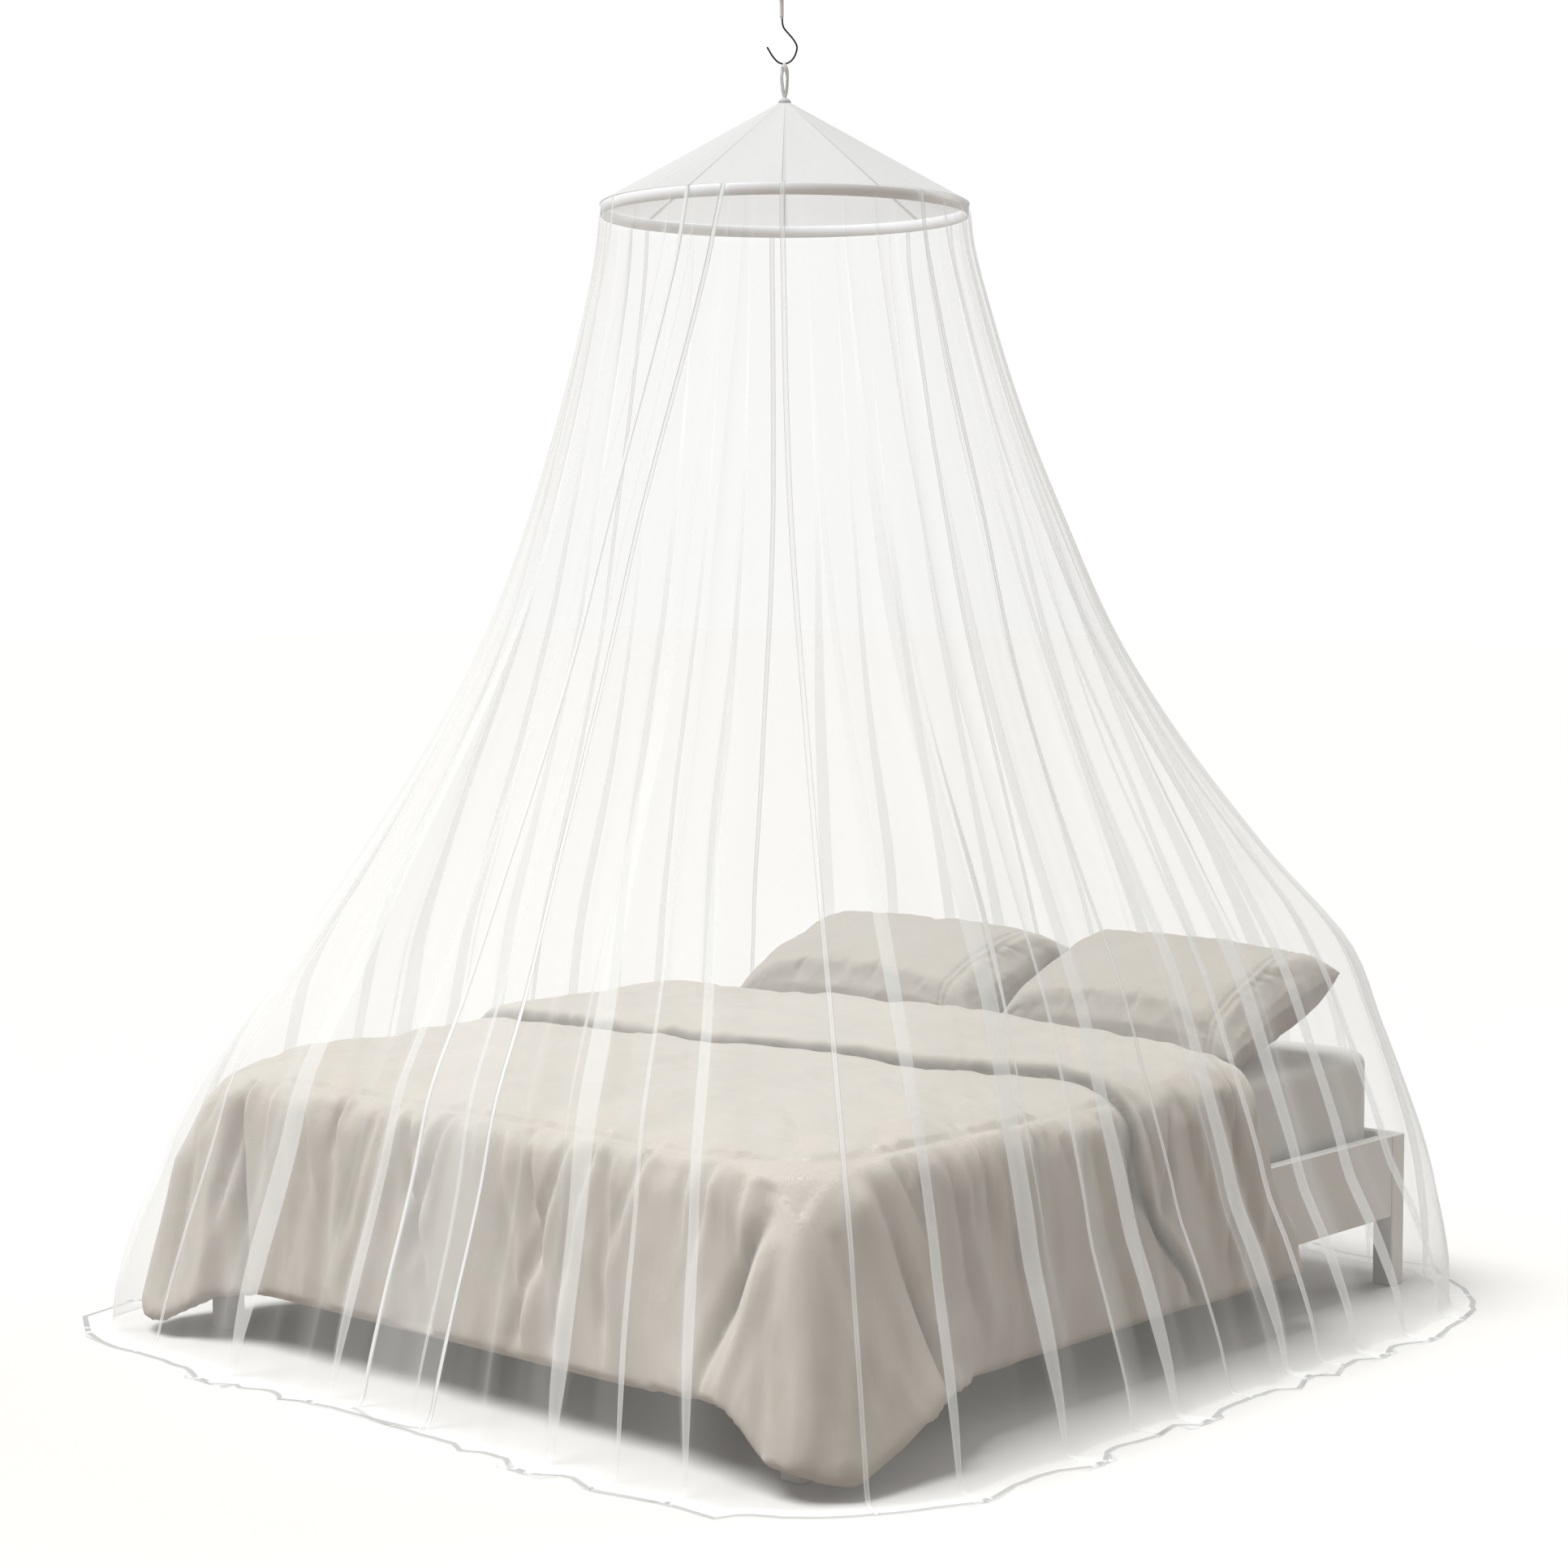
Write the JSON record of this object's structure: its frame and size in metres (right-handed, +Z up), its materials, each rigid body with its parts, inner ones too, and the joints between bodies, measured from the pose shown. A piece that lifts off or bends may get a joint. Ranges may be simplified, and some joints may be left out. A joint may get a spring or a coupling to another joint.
{
  "type": "mosquito net canopy over a bed",
  "caption": "Round mosquito net canopy: gored roof and flat hoop hung from a ceiling hook, gathered walls falling to the floor round a made-up bed, lapped at the foot.",
  "frame": {"origin": "on the floor under the middle of the object's box, near the middle of the bed", "axes": "+Z up, -Y towards the foot of the bed, +X towards the bed's right side seen from its foot"},
  "size_m": [2.3818, 2.5958, 2.8956],
  "materials": {
    "net_cloth": "sheer white polyester net, matte",
    "net_tape": "white woven seam tape and edge binding",
    "hoop_band": "white flat band",
    "hook_wire": "black satin wire",
    "hanging_cord": "white braided cord and loop tape",
    "ceiling_metal": "white painted round fitting",
    "bed_frame": "white painted, satin",
    "bed_board": "plain pale board",
    "mattress_cover": "off-white fitted sheet",
    "duvet_linen": "washed greige linen",
    "pillow_linen": "pale greige linen"
  },
  "bodies": {
    "root": {"net_panel_left": "net_cloth", "net_panel_foot_left": "net_cloth", "net_panel_foot": "net_cloth", "net_panel_near": "net_cloth", "net_panel_right": "net_cloth", "net_panel_head_right": "net_cloth", "net_panel_head": "net_cloth", "net_panel_head_left": "net_cloth", "roof_gore_foot": "net_cloth", "roof_gore_near": "net_cloth", "roof_gore_right": "net_cloth", "roof_gore_head_right": "net_cloth", "roof_gore_head": "net_cloth", "roof_gore_head_left": "net_cloth", "roof_gore_left": "net_cloth", "roof_gore_foot_left": "net_cloth", "seam_tape_left": "net_tape", "seam_tape_front": "net_tape", "seam_tape_right": "net_tape", "seam_tape_head_right": "net_tape", "seam_tape_head": "net_tape", "seam_tape_head_left": "net_tape", "seam_tape_back": "net_tape", "edge_binding_over": "net_tape", "edge_binding_under": "net_tape", "crown_patch": "net_tape", "hoop": "hoop_band", "hanging_loop": "hanging_cord", "hook": "hook_wire", "ceiling_cord": "hanging_cord", "ceiling_fitting": "ceiling_metal", "leg_foot_left": "bed_frame", "leg_foot_right": "bed_frame", "leg_head_left": "bed_frame", "leg_head_right": "bed_frame", "rail_left": "bed_frame", "rail_right": "bed_frame", "rail_foot": "bed_frame", "rail_head": "bed_frame", "bed_base": "bed_board", "mattress": "mattress_cover", "duvet": "duvet_linen", "pillow_near": "pillow_linen", "pillow_far": "pillow_linen"}
  },
  "joints": []
}
